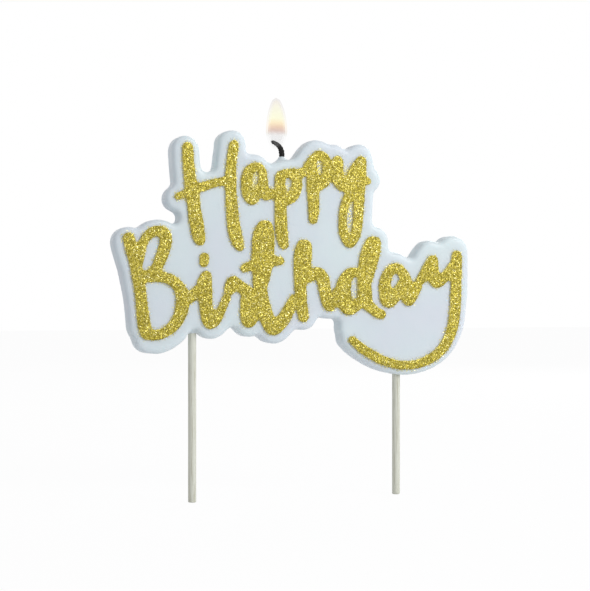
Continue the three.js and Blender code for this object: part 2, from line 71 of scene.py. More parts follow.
MM = 0.001
SAME_POINT = 0.001
UP = Vector((0.0, 0.0, 1.0))
BODY = "root"
TONE = "tone"
HEMMED_IN = "hemmed in"
log = logging.getLogger("candle")


class Letter(Enum):
    """The letters of the two words, each by the name of its node."""

    H = "letter_H"
    A_1 = "letter_a_1"
    P_1 = "letter_p_1"
    P_2 = "letter_p_2"
    Y_1 = "letter_y_1"
    B = "letter_B"
    I = "letter_i"
    I_DOT = "letter_i_dot"
    R = "letter_r"
    T = "letter_t"
    SMALL_H = "letter_h"
    D = "letter_d"
    A_2 = "letter_a_2"
    Y_2 = "letter_y_2"


class Side(Enum):
    """The two picks, each by the name of its node."""

    LEFT = "pick_left"
    RIGHT = "pick_right"


class Mantle(Enum):
    """The flame's nested skins: width and height as shares of its own, and how solid each looks."""

    OUTER = (1.0, 1.0, 0.2)
    MIDDLE = (0.8, 0.93, 0.38)
    INNER = (0.6, 0.82, 0.6)


class Draw(Enum):
    """What is drawn by lot for each flake, each by the number that it adds to the seed."""

    SPOT = 0
    LEAN = 1
    SIZE = 2
    STRAY_SPOT = 3
    STRAY_WAY = 4
    STRAY_LEAN = 5
    STRAY_SIZE = 6
    TONE = 7
    STRAY_TONE = 8


def linear(code: str) -> tuple[float, float, float, float]:
    """Turns a colour to what a shader's socket takes.

    Args:
        code: The sRGB hex value, such as "#D2DCE8".

    Returns:
        The linear red, green and blue, and an alpha of 1.
    """
    channels = (int(code[start:start + 2], 16) / 255 for start in (1, 3, 5))
    red, green, blue = (c / 12.92 if c <= 0.04045 else ((c + 0.055) / 1.055) ** 2.4 for c in channels)
    return red, green, blue, 1.0


def add_node(
    tree: bpy.types.NodeTree,
    kind: str,
    settings: Mapping[str, object] | None = None,
    inputs: Mapping[str | int, object] | None = None,
    stops: Sequence[tuple[float, str]] = (),
) -> bpy.types.Node:
    """Adds one node with its settings, values and links.

    Args:
        tree: The node tree of a material, the world or a modifier.
        kind: The node's type.
        settings: Its properties by name.
        inputs: Its input sockets by name or number, each with a value or with the output that feeds it.
        stops: The places and sRGB colours of a colour ramp.

    Returns:
        The new node.
    """
    node = tree.nodes.new(kind)
    for name, value in (settings or {}).items():
        setattr(node, name, value)
    for key, value in (inputs or {}).items():
        if isinstance(value, bpy.types.NodeSocket):
            tree.links.new(value, node.inputs[key])
        else:
            node.inputs[key].default_value = value
    if stops:
        elements = node.color_ramp.elements
        while len(elements) < len(stops):
            elements.new(1.0)
        for element, (place, code) in zip(elements, stops):
            element.position = place
            element.color = linear(code)
    return node


def new_material(name: str) -> tuple[bpy.types.Material, bpy.types.NodeTree]:
    """Makes an empty node material.

    Args:
        name: The real material and how it was made.

    Returns:
        The material and its node tree.
    """
    material = bpy.data.materials.new(name)
    material.use_nodes = True
    material.node_tree.nodes.clear()
    return material, material.node_tree


def merged_copy(node: str) -> bmesh.types.BMesh:
    """Copies a node's loose triangles into one closed mesh.

    Args:
        node: The node's name.

    Returns:
        The mesh with its shared corners merged.
    """
    mesh = bmesh.new()
    mesh.from_mesh(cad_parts[node].data)
    bmesh.ops.remove_doubles(mesh, verts=mesh.verts, dist=SAME_POINT * MM)
    return mesh


def to_object(name: str, mesh: bmesh.types.BMesh, smooth: bool = True) -> bpy.types.Object:
    """Puts a mesh in the scene as an object at the origin.

    Args:
        name: The object's name.
        mesh: Its mesh, which is freed.
        smooth: Whether its faces are shaded smooth.

    Returns:
        The new object.
    """
    for face in mesh.faces:
        face.smooth = smooth
    data = bpy.data.meshes.new(name)
    mesh.to_mesh(data)
    mesh.free()
    piece = bpy.data.objects.new(name, data)
    bpy.context.scene.collection.objects.link(piece)
    return piece


def apply_modifiers(piece: bpy.types.Object) -> None:
    """Puts what an object's modifiers make into its own mesh.

    Args:
        piece: The object, which keeps no modifier.
    """
    bpy.context.view_layer.update()
    plain = piece.data
    made = bpy.data.meshes.new_from_object(piece.evaluated_get(bpy.context.evaluated_depsgraph_get()))
    piece.modifiers.clear()
    piece.data = made
    bpy.data.meshes.remove(plain)


def remesh(piece: bpy.types.Object, voxel: float, smoothing: int) -> None:
    """Gives an object modifiers that turn it to even small faces with softened edges.

    Args:
        piece: The object.
        voxel: The size of a face in millimetres.
        smoothing: How often its points are drawn towards their neighbours.
    """
    even = piece.modifiers.new("even faces", "REMESH")
    even.mode = "VOXEL"
    even.voxel_size = voxel * MM
    even.use_smooth_shade = True
    soft = piece.modifiers.new("soft edges", "SMOOTH")
    soft.factor = 0.5
    soft.iterations = smoothing


def dress(piece: bpy.types.Object, slot: str, *replaced: str) -> bpy.types.Object:
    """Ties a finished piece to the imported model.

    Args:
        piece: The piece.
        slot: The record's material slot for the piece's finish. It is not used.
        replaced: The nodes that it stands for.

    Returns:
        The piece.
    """
    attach(piece, BODY)
    if replaced:
        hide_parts(*replaced)
    return piece


@dataclass(frozen=True)
class ParaffinWax:
    """Paraffin wax, poured in a mould: satin and a little translucent, so that its edges glow."""

    shades: tuple[tuple[float, str], ...] = ((0.32, "#D2D9DF"), (0.5, "#D1DBDF"), (0.68, "#D3DFE0"))
    cloud_size: float = 26.0
    ripple_size: float = 7.0
    ripple_height: float = 0.12
    ripple_strength: float = 0.35
    # The grain of real wax is about 0.2 mm. It is drawn coarser, so that it shows.
    grain_size: float = 0.9
    grain_height: float = 0.03
    grain_strength: float = 0.25
    glossiest: float = 0.34
    dullest: float = 0.46
    ior: float = 1.44
    milkiness: float = 0.5
    scatter_depth: float = 4.0
    scatter_share: tuple[float, float, float] = (0.9, 1.0, 1.0)

    def material(self) -> bpy.types.Material:
        """Makes the wax with its faint clouds of colour, the ripples of cooling and a fine grain.

        Returns:
            The wax.
        """
        material, tree = new_material("Paraffin wax, poured")
        place = add_node(tree, "ShaderNodeTexCoord").outputs["Object"]
        clouds = add_node(tree, "ShaderNodeTexNoise", inputs={
            "Vector": place, "Scale": 1 / (self.cloud_size * MM), "Detail": 2.0, "Roughness": 0.4})
        colour = add_node(
            tree, "ShaderNodeValToRGB", inputs={"Fac": clouds.outputs["Fac"]}, stops=self.shades)
        ripples = add_node(tree, "ShaderNodeTexNoise", inputs={
            "Vector": place, "Scale": 1 / (self.ripple_size * MM), "Detail": 1.0})
        grain = add_node(tree, "ShaderNodeTexNoise", inputs={
            "Vector": place, "Scale": 1 / (self.grain_size * MM), "Detail": 3.0})
        gloss = add_node(tree, "ShaderNodeMapRange", inputs={
            "Value": ripples.outputs["Fac"], "From Min": 0.3, "From Max": 0.7,
            "To Min": self.glossiest, "To Max": self.dullest})
        wave = add_node(tree, "ShaderNodeBump", inputs={
            "Height": ripples.outputs["Fac"], "Strength": self.ripple_strength,
            "Distance": self.ripple_height * MM})
        tooth = add_node(tree, "ShaderNodeBump", inputs={
            "Height": grain.outputs["Fac"], "Normal": wave.outputs["Normal"],
            "Strength": self.grain_strength, "Distance": self.grain_height * MM})
        shader = add_node(tree, "ShaderNodeBsdfPrincipled", {"subsurface_method": "RANDOM_WALK"}, {
            "Base Color": colour.outputs["Color"],
            "Roughness": gloss.outputs["Result"],
            "IOR": self.ior,
            "Subsurface Weight": self.milkiness,
            "Subsurface Radius": self.scatter_share,
            "Subsurface Scale": self.scatter_depth * MM,
            "Normal": tooth.outputs["Normal"],
        })
        add_node(tree, "ShaderNodeOutputMaterial", inputs={"Surface": shader.outputs["BSDF"]})
        return material


@dataclass(frozen=True)
class GlitterGlue:
    """Clear glue full of foil dust, brushed on the wax: the glinting gold ground under the flakes."""

    tones: tuple[tuple[float, str], ...] = ((0.0, "#7E7226"), (0.55, "#A7983B"), (1.0, "#CABF6A"))
    # A pale colour painted on the letters' rounded sides: a painted highlight over their shade.
    edge: str = "#E6DCA4"
    # Real foil dust is 0.1 mm or less. It is drawn coarser, so that it shows.
    dust_size: float = 0.36
    tilt: float = 0.5
    roughness: float = 0.42
    # How squarely faces look forward, from 0 to 1: the sides' pale painted highlight up to the first, and
    # dust's from the second on.
    painted_highlight_until: float = 0.5
    dust_from: float = 0.99

    def material(self) -> bpy.types.Material:
        """Makes the dust as cells that each have their own tone and tilt. The rounded sides get a pale
        painted highlight, which lightens their shade.

        Returns:
            The glue with its dust.
        """
        material, tree = new_material("Gold foil dust in glue, brushed")
        place = add_node(tree, "ShaderNodeTexCoord").outputs["Object"]
        dust = add_node(tree, "ShaderNodeTexVoronoi", inputs={
            "Vector": place, "Scale": 1 / (self.dust_size * MM)})
        parts = add_node(tree, "ShaderNodeSeparateColor", inputs={"Color": dust.outputs["Color"]})
        tone = add_node(tree, "ShaderNodeValToRGB", inputs={"Fac": parts.outputs["Red"]}, stops=self.tones)
        # A cell's random colour runs from 0 to 1, so half is taken off and the cells lean all ways alike.
        lean = add_node(tree, "ShaderNodeVectorMath", {"operation": "SUBTRACT"}, {
            0: dust.outputs["Color"], 1: (0.5, 0.5, 0.5)})
        normal = add_node(tree, "ShaderNodeNewGeometry").outputs["Normal"]
        tilted = add_node(tree, "ShaderNodeVectorMath", {"operation": "MULTIPLY_ADD"}, {
            0: lean.outputs["Vector"], 1: (self.tilt,) * 3, 2: normal})
        facing = add_node(tree, "ShaderNodeVectorMath", {"operation": "NORMALIZE"}, {
            0: tilted.outputs["Vector"]})
        normal_y = add_node(tree, "ShaderNodeSeparateXYZ", inputs={"Vector": normal}).outputs["Y"]
        squarely = add_node(tree, "ShaderNodeMath", {"operation": "ABSOLUTE"}, {0: normal_y}).outputs[0]
        dusted = add_node(tree, "ShaderNodeMapRange", {"interpolation_type": "SMOOTHSTEP"}, {
            "Value": squarely, "From Min": self.painted_highlight_until, "From Max": self.dust_from}).outputs["Result"]
        # Towards the sides the dust gives way to the pale painted highlight.
        colour = add_node(tree, "ShaderNodeMix", {"data_type": "RGBA"}, {
            0: dusted, 6: linear(self.edge), 7: tone.outputs["Color"]}).outputs[2]
        shader = add_node(tree, "ShaderNodeBsdfPrincipled", inputs={
            "Base Color": colour,
            "Metallic": 1.0,
            "Roughness": self.roughness,
            "Normal": facing.outputs["Vector"],
        })
        add_node(tree, "ShaderNodeOutputMaterial", inputs={"Surface": shader.outputs["BSDF"]})
        return material


@dataclass(frozen=True)
class GoldFoil:
    """Gold-coloured aluminium foil, cut to flakes, each tilted: its random tone is a painted glint or dark
    reflection.
    """

    # From a painted dark reflection at 0 to a painted glint at 1.
    tones: tuple[tuple[float, str], ...] = (
        (0.0, "#7C7123"), (0.25, "#948730"), (0.5, "#A99C3E"), (0.75, "#BCB04F"), (0.92, "#D3C976"),
        (1.0, "#F0EABA"))
    dullest: float = 0.5
    glossiest: float = 0.4

    def material(self) -> bpy.types.Material:
        """Makes the foil, which reads each flake's own tone from the mesh: pale tones are painted glints,
        dark ones painted dark reflections.

        Returns:
            The foil.
        """
        material, tree = new_material("Gold foil, cut to flakes")
        tone = add_node(tree, "ShaderNodeAttribute", {"attribute_name": TONE}).outputs["Fac"]
        colour = add_node(tree, "ShaderNodeValToRGB", inputs={"Fac": tone}, stops=self.tones)
        gloss = add_node(tree, "ShaderNodeMapRange", inputs={
            "Value": tone, "To Min": self.dullest, "To Max": self.glossiest})
        shader = add_node(tree, "ShaderNodeBsdfPrincipled", inputs={
            "Base Color": colour.outputs["Color"],
            "Metallic": 1.0,
            "Roughness": gloss.outputs["Result"],
        })
        add_node(tree, "ShaderNodeOutputMaterial", inputs={"Surface": shader.outputs["BSDF"]})
        return material


@dataclass(frozen=True)
class TurnedBirch:
    """Birch, turned to a dowel and left bare: pale and dull, with fine brown-grey lines along its grain."""

    shades: tuple[tuple[float, str], ...] = ((0.3, "#ACAA94"), (0.52, "#D3D5C7"))
    # The pores of real birch are about 0.1 mm wide. They are drawn wider, so that they show.
    line_width: float = 0.35
    line_length: float = 14.0
    line_depth: float = 0.06
    relief_strength: float = 0.4
    roughness: float = 0.68
    ior: float = 1.5

    def material(self) -> bpy.types.Material:
        """Makes the grain as noise that is drawn out along the pick.

        Returns:
            The birch.
        """
        material, tree = new_material("Birch, turned")
        place = add_node(tree, "ShaderNodeTexCoord").outputs["Object"]
        across, along = 1 / (self.line_width * MM), 1 / (self.line_length * MM)
        stretched = add_node(tree, "ShaderNodeMapping", {"vector_type": "POINT"}, {
            "Vector": place, "Scale": (across, across, along)})
        grain = add_node(tree, "ShaderNodeTexNoise", inputs={
            "Vector": stretched.outputs["Vector"], "Scale": 1.0, "Detail": 4.0, "Roughness": 0.6})
        colour = add_node(
            tree, "ShaderNodeValToRGB", inputs={"Fac": grain.outputs["Fac"]}, stops=self.shades)
        relief = add_node(tree, "ShaderNodeBump", inputs={
            "Height": grain.outputs["Fac"], "Strength": self.relief_strength,
            "Distance": self.line_depth * MM})
        shader = add_node(tree, "ShaderNodeBsdfPrincipled", inputs={
            "Base Color": colour.outputs["Color"],
            "Roughness": self.roughness,
            "IOR": self.ior,
            "Normal": relief.outputs["Normal"],
        })
        add_node(tree, "ShaderNodeOutputMaterial", inputs={"Surface": shader.outputs["BSDF"]})
        return material


@dataclass(frozen=True)
class CharredCotton:
    """Cotton, braided and burnt: soot black and dull, with grey flecks of ash on its strands."""

    shades: tuple[tuple[float, str], ...] = ((0.5, "#0F0E0E"), (0.72, "#4A4846"))
    # Real flecks of ash are about 0.1 mm wide. They are drawn wider, so that they show.
    fleck_size: float = 0.3
    crumb_height: float = 0.12
    crumb_strength: float = 0.8
    roughness: float = 0.8
    ior: float = 1.5
    shine: float = 0.3

    def material(self) -> bpy.types.Material:
        """Makes the soot with its flecks of ash and a crumbly surface.

        Returns:
            The burnt cotton.
        """
        material, tree = new_material("Cotton, braided and charred")
        place = add_node(tree, "ShaderNodeTexCoord").outputs["Object"]
        flecks = add_node(tree, "ShaderNodeTexNoise", inputs={
            "Vector": place, "Scale": 1 / (self.fleck_size * MM), "Detail": 4.0, "Roughness": 0.7})
        colour = add_node(
            tree, "ShaderNodeValToRGB", inputs={"Fac": flecks.outputs["Fac"]}, stops=self.shades)
        crumble = add_node(tree, "ShaderNodeBump", inputs={
            "Height": flecks.outputs["Fac"], "Strength": self.crumb_strength,
            "Distance": self.crumb_height * MM})
        shader = add_node(tree, "ShaderNodeBsdfPrincipled", inputs={
            "Base Color": colour.outputs["Color"],
            "Roughness": self.roughness,
            "IOR": self.ior,
            "Specular IOR Level": self.shine,
            "Normal": crumble.outputs["Normal"],
        })
        add_node(tree, "ShaderNodeOutputMaterial", inputs={"Surface": shader.outputs["BSDF"]})
        return material


@dataclass(frozen=True)
class BurningGas:
    """Burning wax vapour: a pale yellow glow over a rosy band, clear and faintly grey round the wick."""

    axis_x: float
    foot: float
    tip: float
    # Each band of colour is bent down by the arch at the radius, so that it bulges in the middle.
    arch: float = 1.5
    radius: float = 4.0
    # The heights, as shares of the flame's own, over which the clear haze and then the glow set in.
    haze_rise: tuple[float, float] = (0.02, 0.14)
    glow_rise: tuple[float, float] = (0.32, 0.44)
    haze_share: float = 0.13
    haze: tuple[tuple[float, str], ...] = ((0.0, "#B2B2B2"), (0.28, "#B2B2B4"))
    heart: tuple[tuple[float, str], ...] = (
        (0.35, "#ECE8EA"), (0.42, "#D8BEB8"), (0.48, "#E8C8B2"), (0.56, "#FFEDC6"), (0.64, "#FFFFDF"),
        (0.82, "#FFFEE8"), (0.93, "#FFF9EA"), (1.0, "#F2E8E0"))
    rim: tuple[tuple[float, str], ...] = (
        (0.37, "#C8CCC0"), (0.44, "#ECD6BC"), (0.54, "#FFEACC"), (0.68, "#F8F2DA"), (0.86, "#E2DAD2"),
        (1.0, "#CFC4BE"))

    def material(self, mantle: Mantle) -> bpy.types.Material:
        """Makes one skin of the flame.

        Args:
            mantle: Which of its skins.

        Returns:
            The glowing, partly clear material.
        """
        _, _, solidity = mantle.value
        material, tree = new_material(f"Burning gas, {mantle.name.lower()} skin")
        place = add_node(tree, "ShaderNodeTexCoord").outputs["Object"]
        height = add_node(tree, "ShaderNodeSeparateXYZ", inputs={"Vector": place}).outputs["Z"]
        outwards = add_node(tree, "ShaderNodeVectorMath", {"operation": "MULTIPLY_ADD"}, {
            0: place, 1: (1.0, 1.0, 0.0), 2: (-self.axis_x * MM, 0.0, 0.0)}).outputs["Vector"]
        spread = add_node(tree, "ShaderNodeVectorMath", {"operation": "DOT_PRODUCT"}, {
            0: outwards, 1: outwards}).outputs["Value"]
        arched = add_node(tree, "ShaderNodeMath", {"operation": "MULTIPLY_ADD"}, {
            0: spread, 1: self.arch / self.radius ** 2 / MM, 2: height}).outputs[0]
        rise = add_node(tree, "ShaderNodeMapRange", inputs={
            "Value": arched, "From Min": self.foot * MM, "From Max": self.tip * MM}).outputs["Result"]
        shades = self.rim if mantle is Mantle.OUTER else self.heart
        colour = add_node(tree, "ShaderNodeValToRGB", inputs={"Fac": rise}, stops=self.haze + shades)
        veil = add_node(tree, "ShaderNodeMapRange", {"interpolation_type": "SMOOTHSTEP"}, {
            "Value": rise, "From Min": self.haze_rise[0], "From Max": self.haze_rise[1],
            "To Max": solidity * self.haze_share})
        cover = add_node(tree, "ShaderNodeMapRange", {"interpolation_type": "SMOOTHSTEP"}, {
            "Value": rise, "From Min": self.glow_rise[0], "From Max": self.glow_rise[1],
            "To Min": veil.outputs["Result"], "To Max": solidity})
        shader = add_node(tree, "ShaderNodeBsdfPrincipled", inputs={
            "Base Color": linear("#000000"),
            "Roughness": 1.0,
            "IOR": 1.0,
            "Specular IOR Level": 0.0,
            "Emission Color": colour.outputs["Color"],
            "Emission Strength": 1.0,
            "Alpha": cover.outputs["Result"],
        })
        add_node(tree, "ShaderNodeOutputMaterial", inputs={"Surface": shader.outputs["BSDF"]})
        return material


@dataclass
class WaxPlate:
    """The poured wax: it grips the picks and the wick, and its open side has sunk as it cooled."""

    node: str = "wax_body"
    voxel: float = 0.6
    smoothing: int = 5
    grip: float = 0.35
    grip_segments: int = 32
    wick_in_wax: float = 22.0
    nub_rise: float = 1.9
    wave_length: float = 14.0
    wave_height: float = 0.05
    back_wave_height: float = 0.16
    sink_depth: float = 0.4
    sink_reach: float = 5.0
    # How squarely faces look along Y: the back's more than the first, the walls' less than the second.
    back_normal: float = 0.7
    wall_normal: float = 0.5

    def _fill(self, mesh: bmesh.types.BMesh, node: str, foot: float, head: float) -> None:
        """Fills the clearance round a pick or the wick.

        Args:
            mesh: The wax.
            node: The node of the pick or wick.
            foot: Where the filling starts, in metres.
            head: Where it ends, in metres.
        """
        low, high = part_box(node)
        # The burnt end of the wick bends to the left, so its straight part is found from its right side.
        radius = (high.y - low.y) / 2 + self.grip * MM
        middle = Vector((high.x - radius + self.grip * MM, 0.0, (foot + head) / 2))
        bmesh.ops.create_cone(mesh, cap_ends=True, segments=self.grip_segments, radius1=radius,
                              radius2=radius, depth=head - foot, matrix=Matrix.Translation(middle))

    def _grip_picks(self, mesh: bmesh.types.BMesh) -> None:
        """Closes the wax round the picks, from the edge that they come out of to their top ends.

        Args:
            mesh: The wax.
        """
        edges = BVHTree.FromBMesh(mesh)
        for side in Side:
            low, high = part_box(side.value)
            beside = (high.x - low.x) / 2 + 2 * self.grip * MM
            middle = (low.x + high.x) / 2
            starts = [Vector((middle + way * beside, 0.0, 0.0)) for way in (-1, 1)]
            feet = [edges.ray_cast(start, UP)[0].z for start in starts]
            self._fill(mesh, side.value, max(feet), high.z + 2 * self.grip * MM)

    def _grip_wick(self, mesh: bmesh.types.BMesh) -> None:
        """Closes the wax round the wick, up to the lip of the nub.

        Args:
            mesh: The wax.
        """
        low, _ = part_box("wick")
        lip = low.z + (self.wick_in_wax + self.nub_rise - self.grip) * MM
        self._fill(mesh, "wick", low.z - 2 * self.grip * MM, lip)

    def _cool(self, plate: bpy.types.Object, walls: BVHTree) -> None:
        """Lets the surface wave a little and the open back sink away from its rim.

        Args:
            plate: The wax.
            walls: Its side walls, to measure the way in from the rim.
        """
        mesh = bmesh.new()
        mesh.from_mesh(plate.data)
        for vertex in mesh.verts:
            wave = noise.noise(vertex.co / (self.wave_length * MM))
            vertex.co += vertex.normal * wave * self.wave_height * MM
            if vertex.normal.y > self.back_normal:
                inward = min(walls.find_nearest(vertex.co)[3] / (self.sink_reach * MM), 1.0)
                sunk = self.sink_depth - self.back_wave_height * wave
                # A smooth slope leads from the rim down to the sunk middle.
                vertex.co.y -= sunk * MM * inward ** 2 * (3 - 2 * inward)
        mesh.to_mesh(plate.data)
        mesh.free()

    def build(self, finish: bpy.types.Material) -> bpy.types.Object:
        """Makes the plate.

        Args:
            finish: The wax.

        Returns:
            The dressed piece.
        """
        mesh = merged_copy(self.node)
        rim = mesh.copy()
        flat = [face for face in rim.faces if abs(face.normal.y) > self.wall_normal]
        bmesh.ops.delete(rim, geom=flat, context="FACES")
        walls = BVHTree.FromBMesh(rim)
        rim.free()
        self._grip_picks(mesh)
        self._grip_wick(mesh)
        plate = to_object("wax_plate", mesh)
        remesh(plate, self.voxel, self.smoothing)
        apply_modifiers(plate)
        self._cool(plate, walls)
        plate.data.materials.clear()
        plate.data.materials.append(finish)
        return dress(plate, "wax", self.node)


@dataclass
class GlitterCoat:
    """How the glitter lies on a letter: a lumpy bed of glue and dust, flakes on it and strays beside it."""

    voxel: float = 0.3
    smoothing: int = 1
    growth: float = 0.12
    lump_size: float = 1.1
    lump_height: float = 0.04
    # Real flakes of fine glitter are about 0.2 mm wide. They are drawn wider, so that they show.
    flake_width: float = 0.36
    flake_thickness: float = 0.04
    flakes_per_square_mm: float = 10.0
    flake_sizes: tuple[float, float] = (0.7, 1.2)
    tilt: float = 0.42
    strays_per_square_mm: float = 7.0
    stray_sizes: tuple[float, float] = (0.5, 0.9)
    stray_tilt: float = 0.4
    # Strays take only tones from here up: a painted highlight that lightens the shade they lie in beside the
    # letter.
    stray_tone: float = 0.8
    stray_reach: float = 0.9
    loop_reach: float = 2.34
    crowding: float = 5.0
    # How squarely faces look along Y: the front's more than the first, the sides' less than the second.
    front_normal: float = 0.85
    side_normal: float = 0.5
    seed: int = 11

    def flake(self) -> bpy.types.Object:
        """Makes the one square flake that all others are copies of.

        Returns:
            The flake.
        """
        mesh = bmesh.new()
        corner = self.flake_width / math.sqrt(2) * MM
        bmesh.ops.create_cone(mesh, cap_ends=True, segments=4, radius1=corner, radius2=corner,
                              depth=self.flake_thickness * MM)
        return to_object("flake", mesh, smooth=False)

    def _lumps(self, tree: bpy.types.NodeTree, bed: bpy.types.NodeSocket,
               normal: bpy.types.NodeSocket) -> bpy.types.NodeSocket:
        """Swells the bed a little, unevenly.

        Args:
            tree: The modifier's nodes.
            bed: The letter.
            normal: Its normals.

        Returns:
            The lumpy bed.
        """
        lumps = add_node(tree, "ShaderNodeTexNoise", inputs={
            "Scale": 1 / (self.lump_size * MM), "Detail": 2.0})
        swell = add_node(tree, "ShaderNodeMapRange", inputs={
            "Value": lumps.outputs["Fac"], "From Min": 0.25, "From Max": 0.75,
            "To Min": (self.growth - self.lump_height) * MM,
            "To Max": (self.growth + self.lump_height) * MM})
        offset = add_node(tree, "ShaderNodeVectorMath", {"operation": "SCALE"}, {
            0: normal, "Scale": swell.outputs["Result"]})
        return add_node(tree, "GeometryNodeSetPosition", inputs={
            "Geometry": bed, "Offset": offset.outputs["Vector"]}).outputs["Geometry"]

    def _random(self, tree: bpy.types.NodeTree, low: float | Sequence[float], high: float | Sequence[float],
                draw: Draw) -> bpy.types.NodeSocket:
        """Gives a random number or vector for each flake.

        Args:
            tree: The modifier's nodes.
            low: The least value.
            high: The greatest value, of the same kind.
            draw: What is drawn.

        Returns:
            The random value.
        """
        seed = self.seed + draw.value
        if isinstance(low, Sequence):
            return add_node(tree, "FunctionNodeRandomValue", {"data_type": "FLOAT_VECTOR"}, {
                0: low, 1: high, "Seed": seed}).outputs[0]
        return add_node(tree, "FunctionNodeRandomValue", {"data_type": "FLOAT"}, {
            2: low, 3: high, "Seed": seed}).outputs[1]

    def _toned(self, tree: bpy.types.NodeTree, points: bpy.types.NodeSocket, least: float,
               draw: Draw) -> bpy.types.NodeSocket:
        """Gives each flake its own tone, which the foil's material reads as a painted glint or dark
        reflection.

        Args:
            tree: The modifier's nodes.
            points: Where the flakes lie.
            least: The darkest tone, from 0 to 1.
            draw: Whether these are flakes on the bed or strays.

        Returns:
            The points with their tones.
        """
        return add_node(tree, "GeometryNodeStoreNamedAttribute", {"data_type": "FLOAT", "domain": "POINT"}, {
            "Geometry": points, "Name": TONE, "Value": self._random(tree, least, 1.0, draw)}).outputs[0]

    def _scattered(self, tree: bpy.types.NodeTree, bed: bpy.types.NodeSocket, normal_y: bpy.types.NodeSocket,
                   flake: bpy.types.NodeSocket) -> bpy.types.NodeSocket:
        """Lays flakes on the bed, each at its own tilt.

        Args:
            tree: The modifier's nodes.
            bed: The lumpy bed.
            normal_y: How far each face of it looks back.
            flake: The flake.

        Returns:
            The flakes.
        """
        open_side = add_node(tree, "FunctionNodeCompare", {"data_type": "FLOAT", "operation": "LESS_THAN"}, {
            0: normal_y, 1: -self.front_normal}).outputs["Result"]
        points = add_node(tree, "GeometryNodeDistributePointsOnFaces", inputs={
            "Mesh": bed, "Selection": open_side, "Density": self.flakes_per_square_mm / MM ** 2,
            "Seed": self.seed + Draw.SPOT.value})
        lean = self._random(tree, (-self.tilt, -self.tilt, -math.pi), (self.tilt, self.tilt, math.pi),
                            Draw.LEAN)
        turn = add_node(tree, "FunctionNodeRotateRotation", {"rotation_space": "LOCAL"}, {
            "Rotation": points.outputs["Rotation"],
            "Rotate By": add_node(tree, "FunctionNodeEulerToRotation", inputs={"Euler": lean}).outputs[0]})
        toned = self._toned(tree, points.outputs["Points"], 0.0, Draw.TONE)
        return add_node(tree, "GeometryNodeInstanceOnPoints", inputs={
            "Points": toned, "Instance": flake, "Rotation": turn.outputs[0],
            "Scale": self._random(tree, *self.flake_sizes, Draw.SIZE)}).outputs["Instances"]

    def _strays(self, tree: bpy.types.NodeTree, bed: bpy.types.NodeSocket, normal_y: bpy.types.NodeSocket,
                flake: bpy.types.NodeSocket, ground: float) -> bpy.types.NodeSocket:
        """Drops a few flakes on the wax beside the letter, and many in its narrow loops.

        Args:
            tree: The modifier's nodes.
            bed: The lumpy bed.
            normal_y: How far each face of it looks back.
            flake: The flake.
            ground: Where the front of the wax lies, in metres along Y.

        Returns:
            The stray flakes.
        """
        squarely = add_node(tree, "ShaderNodeMath", {"operation": "ABSOLUTE"}, {0: normal_y}).outputs[0]
        side = add_node(tree, "FunctionNodeCompare", {"data_type": "FLOAT", "operation": "LESS_THAN"}, {
            0: squarely, 1: self.side_normal}).outputs["Result"]
        hemmed_in = add_node(tree, "GeometryNodeInputNamedAttribute", {"data_type": "FLOAT"}, {
            "Name": HEMMED_IN}).outputs["Attribute"]
        few = self.strays_per_square_mm / MM ** 2
        density = add_node(tree, "ShaderNodeMapRange", inputs={
            "Value": hemmed_in, "To Min": few, "To Max": few * (1 + self.crowding)}).outputs["Result"]
        points = add_node(tree, "GeometryNodeDistributePointsOnFaces", inputs={
            "Mesh": bed, "Selection": side, "Density": density, "Seed": self.seed + Draw.STRAY_SPOT.value})
        # The share of the way is squared, so that most strays stay near the letter.
        share = self._random(tree, 0.1, 1.0, Draw.STRAY_WAY)
        way = add_node(tree, "ShaderNodeMath", {"operation": "MULTIPLY"}, {0: share, 1: share}).outputs[0]
        furthest = add_node(tree, "ShaderNodeMapRange", inputs={
            "Value": hemmed_in, "To Min": self.stray_reach * MM, "To Max": self.loop_reach * MM})
        reach = add_node(tree, "ShaderNodeMath", {"operation": "MULTIPLY"}, {
            0: way, 1: furthest.outputs["Result"]}).outputs[0]
        outwards = add_node(tree, "ShaderNodeVectorMath", {"operation": "SCALE"}, {
            0: points.outputs["Normal"], "Scale": reach}).outputs["Vector"]
        moved = add_node(tree, "ShaderNodeVectorMath", {"operation": "ADD"}, {
            0: add_node(tree, "GeometryNodeInputPosition").outputs[0], 1: outwards}).outputs["Vector"]
        # Every stray comes to lie on the front of the wax, whatever height of the side it starts from.
        laid = add_node(tree, "ShaderNodeVectorMath", {"operation": "MULTIPLY_ADD"}, {
            0: moved, 1: (1.0, 0.0, 1.0), 2: (0.0, ground, 0.0)}).outputs["Vector"]
        dropped = add_node(tree, "GeometryNodeSetPosition", inputs={
            "Geometry": points.outputs["Points"], "Position": laid}).outputs["Geometry"]
        flat = math.pi / 2
        lean = self._random(tree, (flat - self.stray_tilt, -math.pi, -self.stray_tilt),
                            (flat + self.stray_tilt, math.pi, self.stray_tilt), Draw.STRAY_LEAN)
        turn = add_node(tree, "FunctionNodeEulerToRotation", inputs={"Euler": lean}).outputs[0]
        # The strays' pale tones are a painted highlight over their shade on the wax.
        return add_node(tree, "GeometryNodeInstanceOnPoints", inputs={
            "Points": self._toned(tree, dropped, self.stray_tone, Draw.STRAY_TONE),
            "Instance": flake, "Rotation": turn,
            "Scale": self._random(tree, *self.stray_sizes, Draw.STRAY_SIZE)}).outputs["Instances"]

